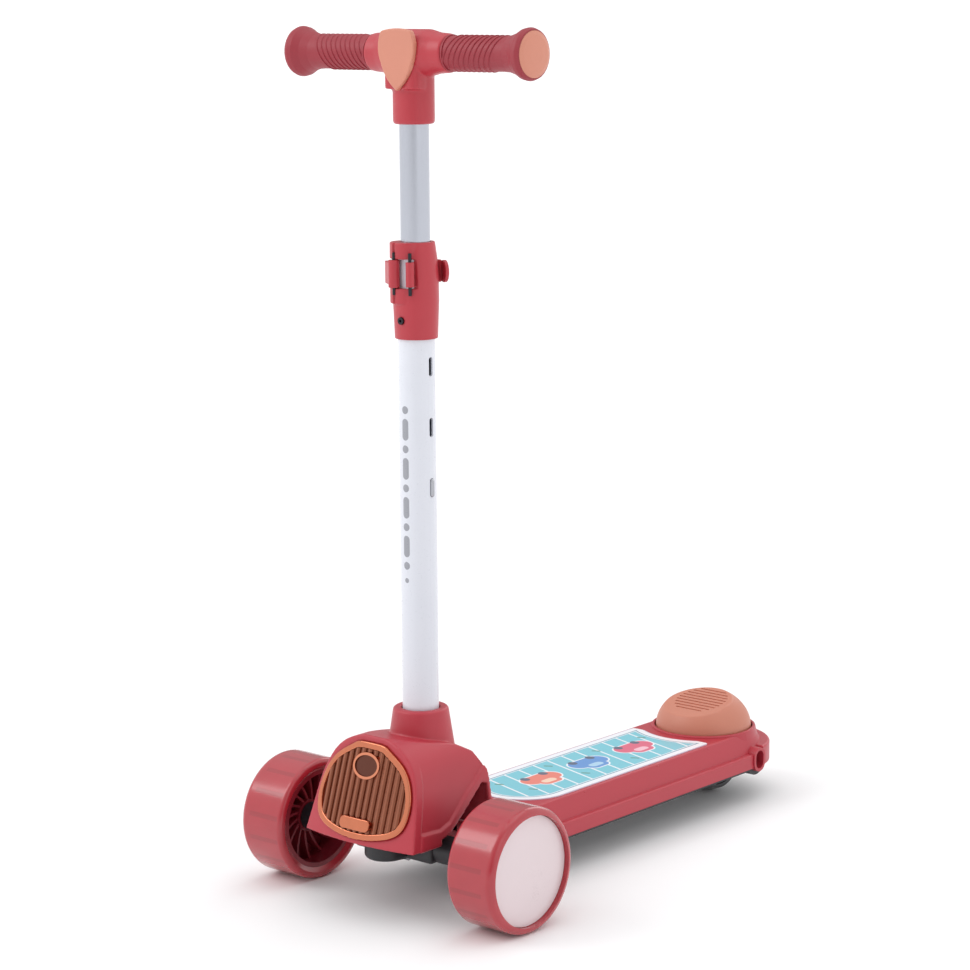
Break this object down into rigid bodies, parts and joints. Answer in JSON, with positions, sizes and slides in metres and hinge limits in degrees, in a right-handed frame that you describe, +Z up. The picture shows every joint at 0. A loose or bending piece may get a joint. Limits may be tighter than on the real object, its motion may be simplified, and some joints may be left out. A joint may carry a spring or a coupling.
{
  "type": "kick scooter",
  "caption": "Child's lean-to-steer kick scooter with a moulded car-style nose, wide deck, dome foot brake and a telescoping handlebar with a clamp lever.",
  "frame": {"origin": "on the ground under the middle of the bounding box", "axes": "+Z up, the nose and front wheels face -Y, +X is the rider's left"},
  "size_m": [0.2948, 0.574, 0.7577],
  "materials": {
    "deck_red": "satin moulded red-pink",
    "tee_red": "satin moulded red-pink",
    "black_plastic": "matt black moulding",
    "pad_print": "printed soft sheet",
    "plated_steel": "zinc plated",
    "zinc_screw": "zinc plated",
    "dark_steel": "black oxide",
    "bearing_steel": "ground",
    "spring_steel": "drawn wire",
    "rose_chrome": "rose-tinted plating",
    "grille_bronze": "satin bronze",
    "white_paint": "gloss white",
    "natural_nylon": "natural nylon",
    "bumper_rubber": "soft black",
    "red_urethane": "moulded red",
    "black_urethane": "moulded black",
    "core_red": "moulded deep red",
    "pale_hubcap": "satin pale pink",
    "dome_coral": "satin coral",
    "cap_coral": "satin coral",
    "grip_rubber": "soft ribbed red",
    "anodised_tube": "satin anodised"
  },
  "bodies": {
    "scooter": {"deck_cover": "deck_red", "deck_base": "black_plastic", "deck_frame": "plated_steel", "foot_pad": "pad_print", "deck_screws": "zinc_screw", "head_bracket": "plated_steel", "bracket_bolts": "zinc_screw", "head_shroud": "deck_red", "shroud_screws": "zinc_screw", "grille_frame": "rose_chrome", "grille_slats": "grille_bronze", "emblem": "rose_chrome", "grille_bar": "rose_chrome", "outer_tube": "white_paint", "stem_bolt": "zinc_screw", "clamp_collar": "tee_red", "clamp_screw": "dark_steel", "clamp_pins": "dark_steel", "clamp_barrel_nut": "tee_red", "guide_bush": "black_plastic", "kingpin": "zinc_screw", "rear_axle": "zinc_screw", "rear_axle_nut": "zinc_screw", "rear_axle_bushes": "plated_steel", "brake_pin": "zinc_screw", "brake_springs": "spring_steel"},
    "truck": {"truck_beam": "black_plastic", "kingpin_bushes": "natural_nylon", "steer_bumpers": "bumper_rubber", "front_axle": "zinc_screw", "front_axle_nuts": "zinc_screw"},
    "left_wheel": {"left_tyre": "red_urethane", "left_wheel_core": "core_red", "left_hubcap": "pale_hubcap", "left_bearings": "bearing_steel", "left_bearing_spacer": "plated_steel"},
    "right_wheel": {"right_tyre": "red_urethane", "right_wheel_core": "core_red", "right_hubcap": "pale_hubcap", "right_bearings": "bearing_steel", "right_bearing_spacer": "plated_steel"},
    "rear_wheel": {"rear_tyre": "black_urethane", "rear_wheel_core": "black_plastic", "rear_bearings": "bearing_steel", "rear_bearing_spacer": "plated_steel"},
    "brake": {"brake_pedal": "dome_coral", "brake_pad": "black_plastic"},
    "handlebar": {"inner_tube": "anodised_tube", "tube_plug": "black_plastic", "tee_housing": "tee_red", "crossbar": "plated_steel", "left_grip": "grip_rubber", "right_grip": "grip_rubber", "left_end_cap": "cap_coral", "right_end_cap": "cap_coral", "badge": "cap_coral", "tee_screw": "dark_steel", "catch_spring": "spring_steel"},
    "catch": {"height_catch": "plated_steel"},
    "lever": {"clamp_lever": "tee_red"}
  },
  "joints": [
    {"name": "steer_lean", "type": "hinge", "parent": "scooter", "child": "truck", "pos_m": [0, -0.2255, 0.058], "axis": [0, -0.5736, 0.8192], "range_deg": [-15, 15], "stiffness_Nm_per_rad": 30},
    {"name": "left_wheel_spin", "type": "hinge", "parent": "truck", "child": "left_wheel", "pos_m": [0.1223, -0.2215, 0.055], "axis": [1, 0, 0], "continuous": true},
    {"name": "right_wheel_spin", "type": "hinge", "parent": "truck", "child": "right_wheel", "pos_m": [-0.1223, -0.2215, 0.055], "axis": [1, 0, 0], "continuous": true},
    {"name": "rear_wheel_spin", "type": "hinge", "parent": "scooter", "child": "rear_wheel", "pos_m": [0, 0.225, 0.04], "axis": [1, 0, 0], "continuous": true},
    {"name": "brake_press", "type": "hinge", "parent": "scooter", "child": "brake", "pos_m": [0, 0.166, 0.056], "axis": [-1, 0, 0], "range_deg": [0, 4.5], "stiffness_Nm_per_rad": 3, "springref_deg": -11.46, "deforming": ["brake_springs"]},
    {"name": "handlebar_height", "type": "slide", "parent": "scooter", "child": "handlebar", "axis": [0, 0, 1], "range_m": [0, 0.105], "deforming": ["height_catch"]},
    {"name": "catch_press", "type": "slide", "parent": "handlebar", "child": "catch", "axis": [-1, 0, 0], "range_m": [0, 0.0045], "stiffness_N_per_m": 800, "springref_m": -0.003, "deforming": ["catch_spring"]},
    {"name": "clamp_lever_swing", "type": "hinge", "parent": "scooter", "child": "lever", "pos_m": [-0.006, -0.2174, 0.551], "axis": [0, 0, 1], "range_deg": [0, 120]}
  ]
}
